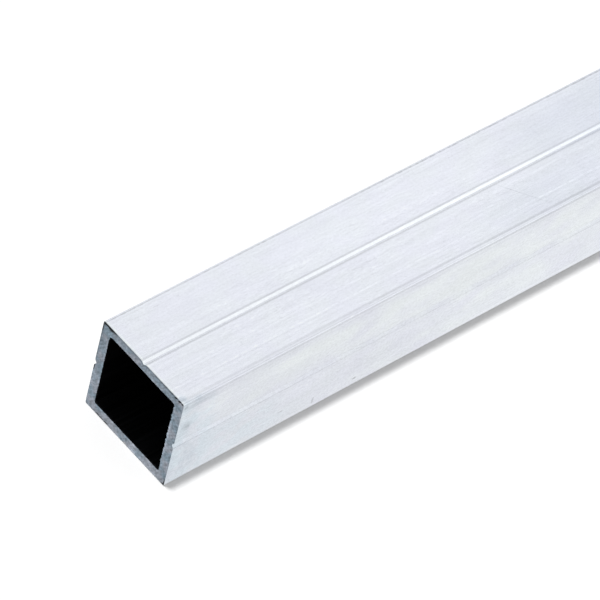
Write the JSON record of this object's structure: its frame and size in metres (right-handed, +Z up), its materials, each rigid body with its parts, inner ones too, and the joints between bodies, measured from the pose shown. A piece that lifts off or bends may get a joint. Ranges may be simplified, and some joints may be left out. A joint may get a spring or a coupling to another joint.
{
  "type": "square metal tube",
  "caption": "Straight length of extruded square tube with thin walls, a shallow centring groove along each face, and both ends sawn square and open.",
  "frame": {"origin": "on the floor under the middle of the tube: the centre of the base of its bounding box", "axes": "+Y along the tube, +Z up out of the top face, +X across it to the right-hand face as seen from the end at low Y"},
  "size_m": [0.02, 0.3, 0.02],
  "materials": {
    "mill_aluminium": "mill finish as extruded, with fine lengthwise die lines and sawn ends"
  },
  "bodies": {
    "root": {"square_tube": "mill_aluminium"}
  },
  "joints": []
}
